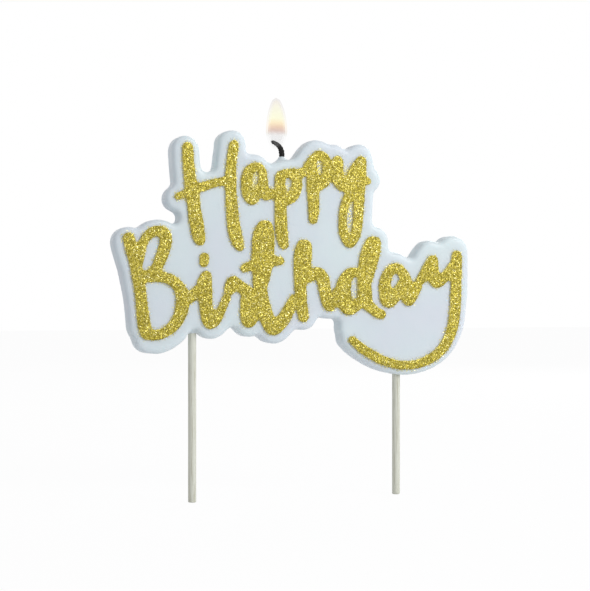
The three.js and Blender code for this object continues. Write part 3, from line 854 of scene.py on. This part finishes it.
    def nodes(self, flake: bpy.types.Object, ground: float, glue: bpy.types.Material,
              foil: bpy.types.Material) -> bpy.types.NodeTree:
        """Makes the nodes that coat a letter.

        Args:
            flake: The flake.
            ground: Where the front of the wax lies, in metres along Y.
            glue: The finish of the bed.
            foil: The finish of the flakes.

        Returns:
            The node tree for a modifier.
        """
        tree = bpy.data.node_groups.new("glitter coat", "GeometryNodeTree")
        tree.interface.new_socket("Geometry", in_out="INPUT", socket_type="NodeSocketGeometry")
        tree.interface.new_socket("Geometry", in_out="OUTPUT", socket_type="NodeSocketGeometry")
        normal = add_node(tree, "GeometryNodeInputNormal").outputs[0]
        normal_y = add_node(tree, "ShaderNodeSeparateXYZ", inputs={"Vector": normal}).outputs["Y"]
        bed = self._lumps(tree, add_node(tree, "NodeGroupInput").outputs[0], normal)
        source = add_node(tree, "GeometryNodeObjectInfo", inputs={"Object": flake, "As Instance": True})
        flakes = add_node(tree, "GeometryNodeJoinGeometry")
        for laid in (self._scattered(tree, bed, normal_y, source.outputs["Geometry"]),
                     self._strays(tree, bed, normal_y, source.outputs["Geometry"], ground)):
            tree.links.new(laid, flakes.inputs[0])
        loose = add_node(tree, "GeometryNodeRealizeInstances", inputs={"Geometry": flakes.outputs[0]})
        foiled = add_node(tree, "GeometryNodeSetMaterial", inputs={
            "Geometry": loose.outputs[0], "Material": foil})
        glued = add_node(tree, "GeometryNodeSetMaterial", inputs={"Geometry": bed, "Material": glue})
        coat = add_node(tree, "GeometryNodeJoinGeometry")
        tree.links.new(glued.outputs[0], coat.inputs[0])
        tree.links.new(foiled.outputs[0], coat.inputs[0])
        add_node(tree, "NodeGroupOutput", inputs={0: coat.outputs[0]})
        return tree


@dataclass
class Lettering:
    """The greeting, a letter at a time: each is raised on the wax and coated with glitter."""

    coat: GlitterCoat = field(default_factory=GlitterCoat)
    letters: Sequence[Letter] = tuple(Letter)
    # The glue reaches over a joint in full up to the first gap, and not at all past the second.
    joint_full: float = 0.7
    joint_reach: float = 1.5
    joint_overlap: float = 0.42
    spread: float = 0.1
    squareness: float = 0.75
    # How squarely a face must look out of the letter, or forward, to be moved that way.
    least_normal: float = 0.15
    # A loop's width is measured so far behind the letter's face, by a ray that starts clear of its side.
    wall_depth: float = 0.4
    ray_start: float = 0.21
    # A loop wider than this counts as open, and one at most half as wide as fully narrow.
    narrow: float = 4.6
    # How much further than elsewhere the glue creeps into the loops that glitter clouds.
    loop_creep: Mapping[Letter, float] = field(default_factory=lambda: {
        Letter.A_1: 0.0, Letter.P_1: 0.25, Letter.P_2: 0.0, Letter.Y_1: 0.0, Letter.D: 0.5})

    def _tightness(self, whole: BVHTree, edge: Vector, way: Vector, depth: float) -> float:
        """Tells how narrow a letter's loop is at one place of its edge.

        Args:
            whole: The letter.
            edge: The place, inside the loop or anywhere else on the letter's edge.
            way: The way out from it, along the wax.
            depth: Where the letter's sides stand upright, in metres along Y.

        Returns:
            From 0 for an open loop, or none, to 1 for a fully narrow one.
        """
        clear = Vector((edge.x, depth, edge.z)) + way * self.ray_start * MM
        hit, normal, _, gap = whole.ray_cast(clear, way, self.narrow * MM)
        if hit is None or normal.dot(way) > 0:
            return 0.0
        return min(2 - 2 * gap / (self.narrow * MM), 1.0)

    def _spread_glue(self, piece: bpy.types.Object, letter: Letter) -> None:
        """Squares a letter's edge and spreads it, most where it meets the next one, so that no line shows.

        Args:
            piece: The piece, which also gets an attribute that says how narrow its clouded loops are.
            letter: Which letter it is.
        """
        others = self._gathered(other for other in self.letters if other is not letter)
        whole = self._gathered([letter])
        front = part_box(letter.value)[0].y
        # A loop that glitter doesn't cloud stays as open as the solid's.
        creep = self.loop_creep.get(letter, -self.spread)
        mesh = bmesh.new()
        mesh.from_mesh(piece.data)
        hemmed_in = mesh.verts.layers.float.new(HEMMED_IN)
        reach, fade = self.joint_reach * MM, (self.joint_reach - self.joint_full) * MM
        for vertex in mesh.verts:
            gap = others.find_nearest(vertex.co, reach)[3]
            share = 0.0 if gap is None else min((reach - gap) / fade, 1.0)
            sideways = Vector((vertex.normal.x, 0.0, vertex.normal.z))
            if vertex.normal.y < -self.least_normal:
                vertex.co.y += (front - vertex.co.y) * max(share, self.squareness)
            if sideways.length > self.least_normal:
                way = sideways.normalized()
                tightness = self._tightness(whole, vertex.co, way, front + self.wall_depth * MM)
                wider = max(self.joint_overlap * share, self.spread) + creep * min(2 * tightness, 1.0)
                vertex.co += way * wider * MM
                vertex[hemmed_in] = tightness if letter in self.loop_creep else 0.0
        mesh.to_mesh(piece.data)
        mesh.free()

    def _gathered(self, letters: Iterable[Letter]) -> BVHTree:
        """Gathers packed letters for measuring.

        Args:
            letters: The letters.

        Returns:
            Their faces.
        """
        mesh = bmesh.new()
        for letter in letters:
            mesh.from_mesh(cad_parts[letter.value].data)
        tree = BVHTree.FromBMesh(mesh)
        mesh.free()
        return tree

    def build(self, glue: bpy.types.Material, foil: bpy.types.Material) -> list[bpy.types.Object]:
        """Makes all letters.

        Args:
            glue: The finish of the beds.
            foil: The finish of the flakes.

        Returns:
            The dressed pieces.
        """
        flake = self.coat.flake()
        ground = max(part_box(letter.value)[1].y for letter in self.letters)
        nodes = self.coat.nodes(flake, ground, glue, foil)
        made = []
        for letter in self.letters:
            piece = to_object(letter.value.replace("letter", "glitter"), merged_copy(letter.value))
            remesh(piece, self.coat.voxel, self.coat.smoothing)
            apply_modifiers(piece)
            self._spread_glue(piece, letter)
            piece.modifiers.new("glitter", "NODES").node_group = nodes
            apply_modifiers(piece)
            made.append(dress(piece, "gold_glitter", letter.value))
        bpy.data.node_groups.remove(nodes)
        bpy.data.objects.remove(flake)
        return made


@dataclass
class BirchPick:
    """A straight turned dowel with eased ends, a hair uneven along its length."""

    side: Side
    segments: int = 40
    end_ease: float = 0.4
    ease_segments: int = 3
    cuts: int = 44
    unevenness: float = 0.025
    wave_length: float = 6.0

    def build(self, finish: bpy.types.Material) -> bpy.types.Object:
        """Makes the pick.

        Args:
            finish: The birch.

        Returns:
            The dressed piece.
        """
        low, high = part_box(self.side.value)
        radius = (high.x - low.x) / 2
        mesh = bmesh.new()
        bmesh.ops.create_cone(mesh, cap_ends=True, segments=self.segments, radius1=radius, radius2=radius,
                              depth=high.z - low.z, matrix=Matrix.Translation((low + high) / 2))
        upright = [edge for edge in mesh.edges if abs(edge.verts[0].co.z - edge.verts[1].co.z) > radius]
        rims = [edge for edge in mesh.edges if edge not in upright]
        bmesh.ops.subdivide_edges(mesh, edges=upright, cuts=self.cuts)
        bmesh.ops.bevel(mesh, geom=rims, offset=self.end_ease * MM, affect="EDGES",
                        segments=self.ease_segments, profile=0.5, material=-1)
        mesh.normal_update()
        for vertex in mesh.verts:
            wave = noise.noise(vertex.co / (self.wave_length * MM))
            vertex.co += vertex.normal * wave * self.unevenness * MM
        pick = to_object(f"birch_{self.side.value}", mesh)
        pick.data.materials.append(finish)
        return dress(pick, "birch", self.side.value)


@dataclass
class Wick:
    """The cotton wick: strands that wind round it, straight in the wax and bent over where it has burnt."""

    node: str = "wick"
    in_wax: float = 22.0
    nub_rise: float = 1.9
    # The Bezier points of the free end, each by its X and Z from the lip of the nub.
    bend: tuple[tuple[float, float], ...] = ((0.0, 0.0), (0.0, 3.3), (-1.1, 4.6), (-4.4, 5.8))
    strands: int = 3
    strand_depth: float = 0.07
    swelling: float = 1.22
    turn_length: float = 3.4
    segments: int = 24
    straight_steps: int = 24
    bent_steps: int = 26
    raggedness: float = 0.1
    rag_size: float = 0.7
    burnt_length: float = 6.5
    thinning: float = 0.34
    end_round: float = 0.9
    end_girth: float = 0.35

    def _route(self) -> list[Vector]:
        """Lists the points along the middle of the wick.

        Returns:
            The points from the wick's foot in the wax to its burnt end, in metres.
        """
        low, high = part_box(self.node)
        # The burnt end bends to the left, so the straight part is found from the right side.
        radius = (high.y - low.y) / 2
        foot = Vector((high.x - radius, 0.0, low.z))
        lip = foot + Vector((0.0, 0.0, (self.in_wax + self.nub_rise) * MM))
        straight = [foot.lerp(lip, step / self.straight_steps) for step in range(self.straight_steps)]
        knots = [lip + Vector((x * MM, 0.0, z * MM)) for x, z in self.bend]
        return straight + interpolate_bezier(*knots, self.bent_steps)

    def _section(self, mesh: bmesh.types.BMesh, radius: float) -> None:
        """Draws the outline of the twisted strands, flat round the origin.

        Args:
            mesh: The empty mesh.
            radius: The wick's radius in metres.
        """
        bmesh.ops.create_circle(mesh, segments=self.segments, radius=radius)
        for vertex in mesh.verts:
            lobe = math.cos(self.strands * math.atan2(vertex.co.y, vertex.co.x))
            vertex.co *= 1 + self.strand_depth * lobe

    def _girth(self, left: float) -> float:
        """Thins the wick where it has burnt and rounds its end.

        Args:
            left: How far it is to the end, in metres.

        Returns:
            The wick's girth there as a share of its full one.
        """
        burnt = max(1 - left / (self.burnt_length * MM), 0.0)
        beyond = max(1 - left / (self.end_round * MM), 0.0)
        return (1 - self.thinning * burnt) * max(math.sqrt(max(1 - beyond ** 2, 0.0)), self.end_girth)

    def build(self, finish: bpy.types.Material) -> bpy.types.Object:
        """Makes the wick by drawing the section along the route and turning it on the way.

        Args:
            finish: The charred cotton.

        Returns:
            The dressed piece.
        """
        low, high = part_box(self.node)
        mesh = bmesh.new()
        self._section(mesh, (high.y - low.y) / 2 * self.swelling)
        bmesh.ops.contextual_create(mesh, geom=mesh.edges)
        route = self._route()
        whole = sum((ahead - here).length for here, ahead in zip(route, route[1:]))
        travelled = 0.0
        before = Matrix.Translation(route[0])
        bmesh.ops.transform(mesh, matrix=before, verts=mesh.verts)
        edges = list(mesh.edges)
        for here, ahead in zip(route, route[1:]):
            travelled += (ahead - here).length
            lean = UP.rotation_difference(ahead - here).to_matrix().to_4x4()
            twist = Matrix.Rotation(2 * math.pi * travelled / (self.turn_length * MM), 4, "Z")
            girth = Matrix.Scale(self._girth(whole - travelled), 4)
            after = Matrix.Translation(ahead) @ lean @ twist @ girth
            grown = bmesh.ops.extrude_edge_only(mesh, edges=edges)["geom"]
            ring = [part for part in grown if isinstance(part, bmesh.types.BMVert)]
            edges = [edge for edge in grown if isinstance(edge, bmesh.types.BMEdge)
                     and all(end in ring for end in edge.verts)]
            bmesh.ops.transform(mesh, matrix=after @ before.inverted(), verts=ring)
            before = after
        bmesh.ops.edgeloop_fill(mesh, edges=edges)
        bmesh.ops.recalc_face_normals(mesh, faces=mesh.faces)
        for vertex in mesh.verts:
            rag = noise.noise(vertex.co / (self.rag_size * MM))
            vertex.co += vertex.normal * rag * self.raggedness * MM
        wick = to_object("charred_wick", mesh)
        wick.data.materials.append(finish)
        return dress(wick, "wick_cotton", self.node)


@dataclass
class Flame:
    """The flame round the end of the wick: a drop of gas in three thin skins, so that its edge is soft."""

    axis_x: float = -8.4
    bow: float = 0.225
    # The drop's radius at each of its heights.
    profile: tuple[tuple[float, float], ...] = (
        (0.0, 103.4), (1.5, 104.2), (2.6, 105.6), (3.4, 107.3), (4.0, 109.3), (4.25, 111.4), (4.15, 113.9),
        (3.8, 117.0), (3.15, 119.9), (2.35, 122.2), (1.5, 123.9), (0.0, 124.8))
    # The height, as a share of the flame's own, towards which the inner skins are smaller.
    belly: float = 0.42
    steps: int = 24

    def build(self, mantle: Mantle) -> bpy.types.Object:
        """Makes one skin of the flame.

        Args:
            mantle: Which of its skins.

        Returns:
            The dressed piece.
        """
        width, height, _ = mantle.value
        foot, tip = self.profile[0][1], self.profile[-1][1]
        middle = foot + (tip - foot) * self.belly
        mesh = bmesh.new()
        line = [mesh.verts.new((radius * width * MM, 0.0, (middle + (z - middle) * height) * MM))
                for radius, z in self.profile]
        edges = [mesh.edges.new(ends) for ends in zip(line, line[1:])]
        bmesh.ops.spin(mesh, geom=line + edges, cent=(0.0, 0.0, 0.0), axis=(0.0, 0.0, 1.0), steps=self.steps,
                       angle=2 * math.pi, use_merge=True)
        bmesh.ops.remove_doubles(mesh, verts=mesh.verts, dist=SAME_POINT * MM)
        bmesh.ops.recalc_face_normals(mesh, faces=mesh.faces)
        for vertex in mesh.verts:
            rise = (vertex.co.z / MM - foot) / (tip - foot)
            vertex.co.x += (self.axis_x + self.bow * math.sin(math.pi * rise)) * MM
        skin = to_object(f"flame_{mantle.name.lower()}", mesh)
        skin.data.materials.append(BurningGas(self.axis_x, foot, tip).material(mantle))
        skin.visible_shadow = False
        return dress(skin, "wax")


@dataclass(frozen=True)
class SoftLamp:
    """A square soft lamp. Its way leads from the candle to it, and its lengths are in metres."""

    name: str
    way: tuple[float, float, float]
    distance: float
    side: float
    watts: float

    def hang(self, aim: Vector) -> None:
        """Hangs the lamp so that it looks at the candle.

        Args:
            aim: The middle of the candle, in metres.
        """
        light = bpy.data.lights.new(self.name, "AREA")
        light.size = self.side
        light.energy = self.watts
        lamp = bpy.data.objects.new(self.name, light)
        lamp.location = aim + Vector(self.way).normalized() * self.distance
        lamp.rotation_euler = (aim - lamp.location).to_track_quat("-Z", "Y").to_euler()
        bpy.context.scene.collection.objects.link(lamp)


@dataclass
class Studio:
    """A pale floor in white surroundings, soft light from the right, and a camera at the photograph's angle.

    The floor's size is in metres. The camera's sizes are in millimetres and its azimuth is in degrees.
    """

    floor_size: float = 6.0
    # How much of the floor the camera sees as plain white. The rest shows the candle's shadow.
    floor_white: float = 0.95
    world_strength: float = 0.58
    lamps: tuple[SoftLamp, ...] = (
        SoftLamp("key", (0.6, -0.7, 0.45), 1.1, 0.55, 6.4),
        SoftLamp("rim", (0.65, 0.7, 0.4), 1.1, 0.5, 2.8))
    aim: tuple[float, float, float] = (-0.5, 0.0, 46.0)
    distance: float = 620.0
    azimuth: float = -17.5
    lens: float = 94.42
    sensor: float = 36.0

    def _floor(self) -> None:
        """Lays the floor under the picks. The camera sees it near white, with the candle's shadow."""
        mesh = bmesh.new()
        bmesh.ops.create_grid(mesh, x_segments=1, y_segments=1, size=self.floor_size / 2,
                              matrix=Matrix.Translation((0.0, 0.0, CAD_BOX[0].z)))
        floor = to_object("floor", mesh, smooth=False)
        material, tree = new_material("Paper, matt white")
        path = add_node(tree, "ShaderNodeLightPath")
        paper = add_node(tree, "ShaderNodeBsdfDiffuse", inputs={"Color": linear("#F4F4F4")})
        white = add_node(tree, "ShaderNodeEmission", inputs={"Color": linear("#FFFFFF"), "Strength": 1.0})
        share = add_node(tree, "ShaderNodeMath", {"operation": "MULTIPLY"}, {
            0: path.outputs["Is Camera Ray"], 1: self.floor_white})
        seen = add_node(tree, "ShaderNodeMixShader", inputs={
            0: share.outputs[0], 1: paper.outputs[0], 2: white.outputs[0]})
        add_node(tree, "ShaderNodeOutputMaterial", inputs={"Surface": seen.outputs[0]})
        floor.data.materials.append(material)

    def _world(self) -> None:
        """Surrounds the candle with soft light that cameras and mirrors see as white."""
        world = bpy.data.worlds.new("white surroundings")
        bpy.context.scene.world = world
        world.use_nodes = True
        tree = world.node_tree
        tree.nodes.clear()
        path = add_node(tree, "ShaderNodeLightPath")
        mirrored = add_node(tree, "ShaderNodeMath", {"operation": "MAXIMUM"}, {
            0: path.outputs["Is Glossy Ray"], 1: path.outputs["Is Transmission Ray"]})
        seen = add_node(tree, "ShaderNodeMath", {"operation": "MAXIMUM"}, {
            0: path.outputs["Is Camera Ray"], 1: mirrored.outputs[0]})
        soft = add_node(tree, "ShaderNodeBackground", inputs={
            "Color": linear("#FAF9FF"), "Strength": self.world_strength})
        white = add_node(tree, "ShaderNodeBackground", inputs={"Color": linear("#FFFFFF"), "Strength": 1.0})
        both = add_node(tree, "ShaderNodeMixShader", inputs={
            0: seen.outputs[0], 1: soft.outputs[0], 2: white.outputs[0]})
        add_node(tree, "ShaderNodeOutputWorld", inputs={"Surface": both.outputs[0]})

    def _camera(self) -> None:
        """Sets up the camera: level with the words, and a little to the left of straight in front."""
        turn = math.radians(self.azimuth)
        back = Vector((math.sin(turn), -math.cos(turn), 0.0))
        lens = bpy.data.cameras.new("camera")
        lens.lens = self.lens
        lens.sensor_width = self.sensor
        camera = bpy.data.objects.new("camera", lens)
        camera.location = (Vector(self.aim) + back * self.distance) * MM
        camera.rotation_euler = (math.pi / 2, 0.0, turn)
        bpy.context.scene.collection.objects.link(camera)
        bpy.context.scene.camera = camera

    def build(self) -> None:
        """Makes the floor, the surroundings, the lamps and the camera."""
        self._floor()
        self._world()
        for lamp in self.lamps:
            lamp.hang(Vector(self.aim) * MM)
        self._camera()
        bpy.context.scene.view_settings.view_transform = "Standard"


def main() -> None:
    """Builds the candle from its wax to its flame, reports each piece, and builds the studio round it."""
    logging.basicConfig(level=logging.INFO, format="%(name)s: %(message)s")
    pieces = [WaxPlate().build(ParaffinWax().material())]
    pieces += Lettering().build(GlitterGlue().material(), GoldFoil().material())
    birch = TurnedBirch().material()
    pieces += [BirchPick(side).build(birch) for side in Side]
    pieces.append(Wick().build(CharredCotton().material()))
    flame = Flame()
    pieces += [flame.build(mantle) for mantle in Mantle]
    for piece in pieces:
        log.info("%s: %d faces", piece.name, len(piece.data.polygons))
    Studio().build()


if __name__ == "__main__":
    main()
